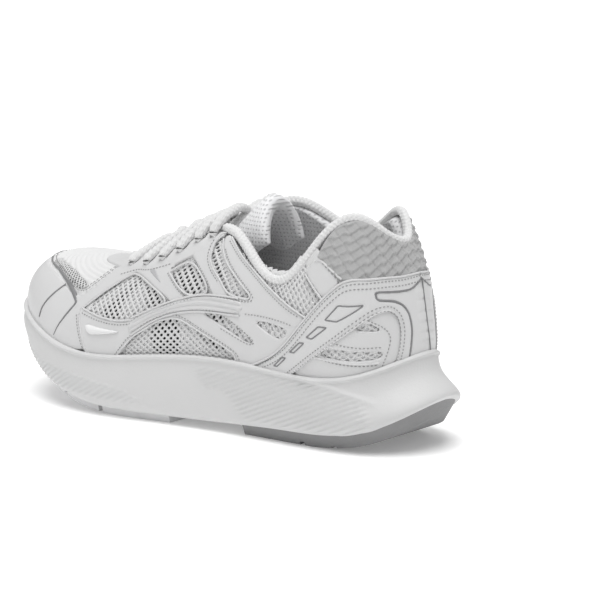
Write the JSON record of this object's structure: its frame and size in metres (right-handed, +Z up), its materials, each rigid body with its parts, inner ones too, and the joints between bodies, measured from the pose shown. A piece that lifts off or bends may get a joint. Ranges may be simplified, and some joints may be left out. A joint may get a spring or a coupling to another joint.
{
  "type": "running shoe",
  "caption": "Low-cut cushioned running shoe for a left foot: thick foam midsole, rubber pads, mesh upper with synthetic overlays, padded collar and tongue, crossed lace.",
  "frame": {"origin": "centre of the shoe's footprint box, on the ground", "axes": "+X to the toe, +Y to the little-toe side of the left shoe, +Z up"},
  "size_m": [0.3004, 0.1099, 0.1284],
  "materials": {
    "outsole_rubber": "matt grey rubber",
    "outsole_light_rubber": "matt light grey rubber",
    "midsole_foam": "matt moulded foam with a fine skin",
    "board": "plain non-woven board",
    "sockliner_textile": "fine knit over foam",
    "engineered_mesh": "open mesh with round holes over a darker backing",
    "lining_textile": "spacer mesh with small holes",
    "stiffener": "plain thermoplastic sheet, hidden",
    "padding_foam": "open-cell foam, hidden",
    "knit_binding": "chunky rib knit",
    "tongue_knit": "padded knit",
    "lace_textile": "braided polyester",
    "heel_tab_textile": "overlapping scale relief, light grey",
    "trim_grey": "satin grey film",
    "synthetic_overlay": "smooth synthetic leather, satin"
  },
  "bodies": {
    "root": {"accent_lateral": "trim_grey", "accent_medial": "trim_grey", "collar_binding": "knit_binding", "collar_padding": "padding_foam", "eyestay_lateral": "synthetic_overlay", "eyestay_medial": "synthetic_overlay", "front_strut_lateral": "synthetic_overlay", "front_strut_medial": "synthetic_overlay", "heel_counter": "stiffener", "heel_cross_band_lateral": "synthetic_overlay", "heel_cross_band_medial": "synthetic_overlay", "heel_lining": "lining_textile", "heel_patch_lateral": "synthetic_overlay", "heel_patch_medial": "synthetic_overlay", "heel_stay_lateral": "synthetic_overlay", "heel_stay_medial": "synthetic_overlay", "heel_tab": "heel_tab_textile", "lace": "lace_textile", "midsole": "midsole_foam", "mudguard_lateral": "synthetic_overlay", "mudguard_medial": "synthetic_overlay", "outsole_forefoot_lateral_front": "outsole_light_rubber", "outsole_forefoot_lateral_middle": "outsole_light_rubber", "outsole_forefoot_lateral_rear": "outsole_light_rubber", "outsole_forefoot_medial_front": "outsole_light_rubber", "outsole_forefoot_medial_middle": "outsole_light_rubber", "outsole_forefoot_medial_rear": "outsole_light_rubber", "outsole_heel": "outsole_rubber", "outsole_toe": "outsole_light_rubber", "quarter_mesh_lateral": "engineered_mesh", "quarter_mesh_medial": "engineered_mesh", "quarter_strap_lateral": "synthetic_overlay", "quarter_strap_medial": "synthetic_overlay", "rear_quarter_patch_lateral": "synthetic_overlay", "rear_quarter_patch_medial": "synthetic_overlay", "rear_strut_lateral": "synthetic_overlay", "rear_strut_medial": "synthetic_overlay", "side_band_lateral": "synthetic_overlay", "side_band_medial": "synthetic_overlay", "strobel_board": "board", "toe_cap": "synthetic_overlay", "toe_puff": "stiffener", "toe_trim_lateral": "trim_grey", "toe_trim_medial": "trim_grey", "tongue_base": "tongue_knit", "vamp_lining": "lining_textile", "vamp_mesh": "engineered_mesh", "vamp_strut_lateral": "synthetic_overlay", "vamp_strut_medial": "synthetic_overlay"},
    "insole": {"sockliner": "sockliner_textile"},
    "tongue": {"tongue_flap_face": "tongue_knit", "tongue_flap_lining": "lining_textile", "tongue_flap_padding": "padding_foam"}
  },
  "joints": [
    {"name": "tongue_fold", "type": "hinge", "parent": "root", "child": "tongue", "pos_m": [-0.02, 0, 0.107], "axis": [0, 1, 0], "range_deg": [-10, 40], "stiffness_Nm_per_rad": 0.05},
    {"name": "sockliner_lift", "type": "hinge", "parent": "root", "child": "insole", "pos_m": [0.1365, 0, 0.0515], "axis": [0, 1, 0], "range_deg": [0, 3]}
  ]
}
